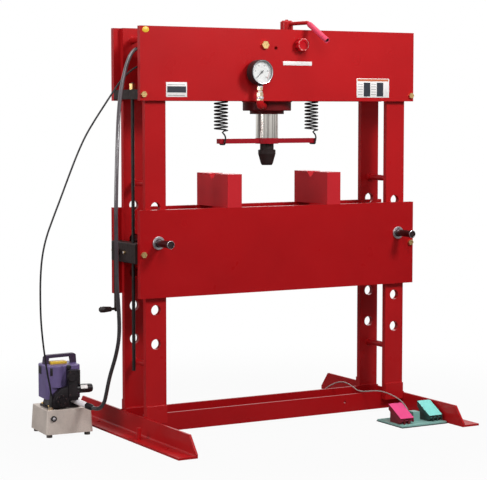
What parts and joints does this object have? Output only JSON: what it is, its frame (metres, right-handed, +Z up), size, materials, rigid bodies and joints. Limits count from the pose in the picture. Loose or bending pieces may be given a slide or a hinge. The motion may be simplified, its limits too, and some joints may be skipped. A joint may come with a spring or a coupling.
{
  "type": "hydraulic workshop press",
  "caption": "Floor-standing hydraulic workshop press with a bar frame, pin-held table on a crank lift, gauge, electric pump and foot switch.",
  "frame": {"origin": "floor point straight below the ram, midway between the four column bars", "axes": "+Z up along the ram, +X to the right seen from the gauge's side, +Y to the back"},
  "size_m": [1.8924, 1.2674, 1.848],
  "materials": {
    "head_red": "gloss red enamel",
    "table_red": "gloss red enamel",
    "black_steel": "satin black",
    "bright_steel": "bright",
    "knob_red": "gloss",
    "spring_steel": "oil-blackened",
    "chrome": "polished",
    "cylinder_steel": "satin dark grey",
    "yellow_zinc": "yellow zinc plate",
    "black_plastic": "satin",
    "dial_white": "matt",
    "needle_black": "matt",
    "gauge_glass": "clear",
    "brass": "turned",
    "tank_alloy": "cast",
    "shroud_plastic": "satin",
    "foot_rubber": "matt",
    "hose_rubber": "matt",
    "pedal_base_green": "hammered",
    "pedal_red": "satin",
    "pedal_green": "satin"
  },
  "bodies": {
    "frame": {"beam_back": "head_red", "beam_front": "head_red", "column_back_left": "head_red", "column_back_right": "head_red", "column_front_left": "head_red", "column_front_right": "head_red", "column_tie_bars": "head_red", "control_cable": "hose_rubber", "cylinder_body": "cylinder_steel", "cylinder_collar": "head_red", "cylinder_seat": "head_red", "foot_left": "head_red", "foot_right": "head_red", "frame_fasteners": "yellow_zinc", "gauge_case": "black_plastic", "gauge_dial": "dial_white", "gauge_lens": "gauge_glass", "gauge_pipe": "head_red", "gauge_stem": "brass", "head_plate_back": "head_red", "head_plate_front": "head_red", "hose_ferrules": "bright_steel", "hydraulic_hose": "hose_rubber", "lift_gearbox": "black_steel", "lift_hanger": "black_steel", "lift_screw": "bright_steel", "pedal_base": "pedal_base_green", "pedal_cable": "hose_rubber", "pedal_housings": "pedal_base_green", "pin_rings": "bright_steel", "plate_spacers": "table_red", "press_block_left": "table_red", "press_block_right": "table_red", "pressure_switch": "black_steel", "pump_body": "black_steel", "pump_coupler": "bright_steel", "pump_feet": "foot_rubber", "pump_fittings": "brass", "pump_shroud": "shroud_plastic", "pump_tank": "tank_alloy", "pump_valve": "black_plastic", "return_spring_left": "spring_steel", "return_spring_right": "spring_steel", "spring_anchors": "black_steel", "table_plate_back": "table_red", "table_plate_front": "table_red", "valve_block": "black_steel"},
    "ram": {"ram": "chrome", "ram_nose": "black_steel", "spring_bar": "head_red"},
    "lever": {"valve_lever": "head_red"},
    "knob": {"release_knob": "knob_red"},
    "needle": {"gauge_needle": "needle_black"},
    "pin_left": {"table_pin_left": "black_steel"},
    "pin_right": {"table_pin_right": "black_steel"},
    "crank": {"crank_arm": "black_steel"},
    "grip": {"crank_grip": "black_plastic"},
    "pedal_left": {"pedal_left": "pedal_red"},
    "pedal_right": {"pedal_right": "pedal_green"}
  },
  "joints": [
    {"name": "ram_slide", "type": "slide", "parent": "frame", "child": "ram", "axis": [0, 0, -1], "range_m": [0, 0.125], "stiffness_N_per_m": 3000, "springref_m": -0.15, "deforming": ["return_spring_left", "return_spring_right"]},
    {"name": "lever_turn", "type": "hinge", "parent": "frame", "child": "lever", "pos_m": [0.105, 0, 1.82], "axis": [0, 0, 1], "range_deg": [-20, 20]},
    {"name": "knob_turn", "type": "hinge", "parent": "frame", "child": "knob", "pos_m": [0.087, -0.15, 1.728], "axis": [0, 1, 0], "range_deg": [-180, 180]},
    {"name": "needle_turn", "type": "hinge", "parent": "frame", "child": "needle", "pos_m": [-0.147, -0.2, 1.601], "axis": [0, 1, 0], "range_deg": [0, 270], "stiffness_Nm_per_rad": 0.002, "springref_deg": -28.65},
    {"name": "left_pin_slide", "type": "slide", "parent": "frame", "child": "pin_left", "axis": [0, -1, 0], "range_m": [0, 0.28]},
    {"name": "right_pin_slide", "type": "slide", "parent": "frame", "child": "pin_right", "axis": [0, -1, 0], "range_m": [0, 0.28]},
    {"name": "crank_turn", "type": "hinge", "parent": "frame", "child": "crank", "pos_m": [-0.74, 0.044, 0.812], "axis": [-1, 0, 0], "continuous": true},
    {"name": "grip_spin", "type": "hinge", "parent": "crank", "child": "grip", "pos_m": [-0.8, 0.044, 0.559], "axis": [-1, 0, 0], "continuous": true},
    {"name": "left_pedal_press", "type": "hinge", "parent": "frame", "child": "pedal_left", "pos_m": [0.472, -0.452, 0.025], "axis": [-1, 0, 0], "range_deg": [0, 8], "stiffness_Nm_per_rad": 3, "springref_deg": -20.05},
    {"name": "right_pedal_press", "type": "hinge", "parent": "frame", "child": "pedal_right", "pos_m": [0.632, -0.452, 0.025], "axis": [-1, 0, 0], "range_deg": [0, 8], "stiffness_Nm_per_rad": 3, "springref_deg": -20.05}
  ]
}
